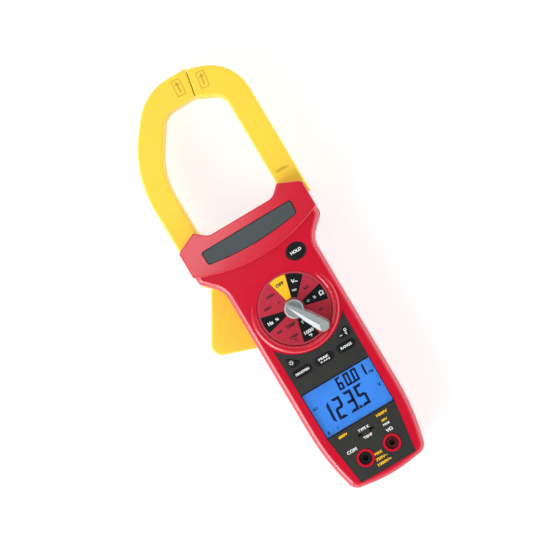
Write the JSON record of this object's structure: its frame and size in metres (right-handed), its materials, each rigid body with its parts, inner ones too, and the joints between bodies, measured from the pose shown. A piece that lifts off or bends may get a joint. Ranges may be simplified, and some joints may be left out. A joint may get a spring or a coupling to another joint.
{
  "type": "clamp meter",
  "caption": "Red handheld clamp meter with yellow jaws, a trigger, a rotary selector, push keys, a backlit display and two test-lead jacks.",
  "frame": {"origin": "on the rear face of the case, under the dial axis", "axes": "+X right seen from the front, +Y towards the jaw tips, +Z out of the face"},
  "size_m": [0.1056, 0.2848, 0.0528],
  "materials": {
    "case_red": "satin",
    "jaw_yellow": "satin",
    "panel_grey": "matte",
    "nameplate_grey": "matte",
    "dial_print": "matte",
    "knob_grey": "satin",
    "key_black": "matte",
    "window_clear": "gloss",
    "lcd_blue": "gloss",
    "backlight_white": "matte",
    "jack_black": "matte",
    "jack_red": "matte",
    "contact_nickel": "gloss",
    "core_steel": "satin",
    "steel": "satin",
    "board_green": "satin",
    "chip_black": "matte",
    "white_plastic": "matte",
    "mat_rubber": "matte",
    "battery_wrap": "satin",
    "lead_wire": "satin",
    "sensor_wire": "satin",
    "label_silver": "satin"
  },
  "bodies": {
    "case": {"front_case": "case_red", "rear_case": "case_red", "battery_cover": "case_red", "fixed_jaw_front_cover": "jaw_yellow", "fixed_jaw_rear_cover": "jaw_yellow", "fixed_jaw_core": "core_steel", "base_core": "core_steel", "hall_sensor": "chip_black", "sensor_leads": "sensor_wire", "pivot_pin": "steel", "return_spring": "steel", "control_panel": "panel_grey", "terminal_panel": "panel_grey", "nameplate": "nameplate_grey", "display_window": "window_clear", "dial_plate": "dial_print", "detent_ring": "white_plastic", "main_board": "board_green", "lcd_holder": "white_plastic", "lcd_glass": "lcd_blue", "backlight_panel": "backlight_white", "contact_strip": "mat_rubber", "keypad_mat": "mat_rubber", "hold_switch": "chip_black", "board_screws": "steel", "board_components": "chip_black", "buzzer": "chip_black", "com_jack_insulator": "jack_black", "volt_jack_insulator": "jack_red", "com_jack_contact": "contact_nickel", "volt_jack_contact": "contact_nickel", "thermocouple_socket": "panel_grey", "thermocouple_contacts": "contact_nickel", "battery": "battery_wrap", "battery_snap": "chip_black", "battery_leads": "lead_wire", "case_screws": "steel", "battery_cover_screw": "steel", "rear_label": "label_silver"},
    "jaw": {"moving_jaw_front_cover": "jaw_yellow", "moving_jaw_rear_cover": "jaw_yellow", "moving_jaw_core": "core_steel", "trigger_lever": "jaw_yellow"},
    "selector": {"selector_knob": "knob_grey", "switch_rotor": "white_plastic", "wiper_contacts": "contact_nickel", "detent_balls": "steel", "detent_springs": "steel"},
    "hold_key": {"hold_key": "key_black"},
    "backlight_key": {"backlight_key": "key_black"},
    "ohm_key": {"ohm_key": "key_black"},
    "max_min_key": {"max_min_key": "key_black"},
    "peak_key": {"peak_key": "key_black"},
    "range_key": {"range_key": "key_black"}
  },
  "joints": [
    {"name": "jaw_open", "type": "hinge", "parent": "case", "child": "jaw", "pos_m": [-0.0336, 0.047, 0.021], "axis": [0, 0, 1], "range_deg": [0, 26], "stiffness_Nm_per_rad": 1.5, "springref_deg": -22.92},
    {"name": "selector_turn", "type": "hinge", "parent": "case", "child": "selector", "pos_m": [0, 0, 0.04], "axis": [0, 0, 1], "continuous": true},
    {"name": "hold_press", "type": "slide", "parent": "case", "child": "hold_key", "axis": [0, 0, -1], "range_m": [0, 0.001], "stiffness_N_per_m": 800, "springref_m": -0.0005},
    {"name": "backlight_press", "type": "slide", "parent": "case", "child": "backlight_key", "axis": [0, 0, -1], "range_m": [0, 0.001], "stiffness_N_per_m": 800, "springref_m": -0.0005},
    {"name": "ohm_press", "type": "slide", "parent": "case", "child": "ohm_key", "axis": [0, 0, -1], "range_m": [0, 0.001], "stiffness_N_per_m": 800, "springref_m": -0.0005},
    {"name": "max_min_press", "type": "slide", "parent": "case", "child": "max_min_key", "axis": [0, 0, -1], "range_m": [0, 0.001], "stiffness_N_per_m": 800, "springref_m": -0.0005},
    {"name": "peak_press", "type": "slide", "parent": "case", "child": "peak_key", "axis": [0, 0, -1], "range_m": [0, 0.001], "stiffness_N_per_m": 800, "springref_m": -0.0005},
    {"name": "range_press", "type": "slide", "parent": "case", "child": "range_key", "axis": [0, 0, -1], "range_m": [0, 0.001], "stiffness_N_per_m": 800, "springref_m": -0.0005}
  ]
}
